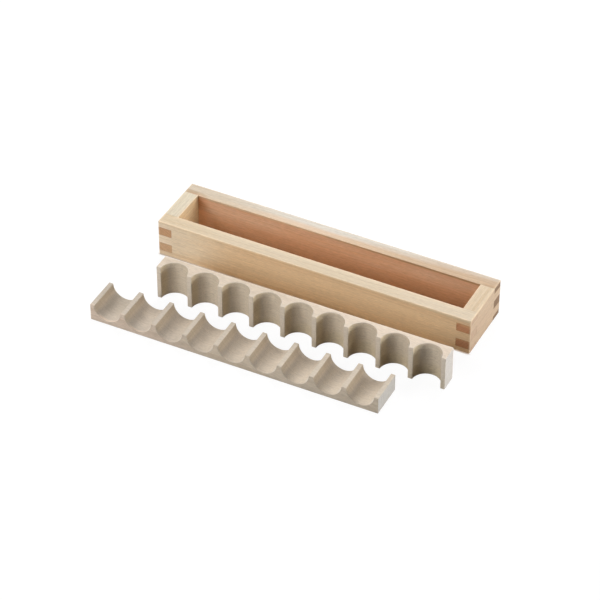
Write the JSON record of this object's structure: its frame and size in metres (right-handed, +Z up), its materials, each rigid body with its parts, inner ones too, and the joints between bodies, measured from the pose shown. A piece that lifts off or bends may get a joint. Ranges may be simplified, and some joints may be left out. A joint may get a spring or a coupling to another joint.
{
  "type": "rice ball mold",
  "caption": "Wooden press mold for rice rolls: an open, finger-jointed frame and matching half-molds whose half-round channels close on each other inside it.",
  "frame": {"origin": "middle of the set as it is laid out on the table, on the table's surface", "axes": "X along the frame and the half-molds, +Y from the lying half-mold towards the frame, Z up"},
  "size_m": [0.3488, 0.1908, 0.04],
  "materials": {
    "frame_wood": "planed and lightly sanded pale softwood, unfinished",
    "back_board_wood": "planed pinkish softwood heartwood, unfinished",
    "mold_wood": "planed and lightly sanded greyish pale softwood, unfinished"
  },
  "bodies": {
    "frame": {"front_board": "frame_wood", "back_board": "back_board_wood", "left_end_board": "frame_wood", "right_end_board": "frame_wood"},
    "lower_mold": {"lower_mold": "mold_wood"},
    "upper_mold": {"upper_mold": "mold_wood"}
  },
  "joints": [
    {"name": "lower_mold_lift", "type": "slide", "parent": "frame", "child": "lower_mold", "axis": [0, 0, 1], "range_m": [0, 0.08]},
    {"name": "upper_mold_lift", "type": "slide", "parent": "frame", "child": "upper_mold", "axis": [0, 0, 1], "range_m": [0, 0.08]}
  ]
}
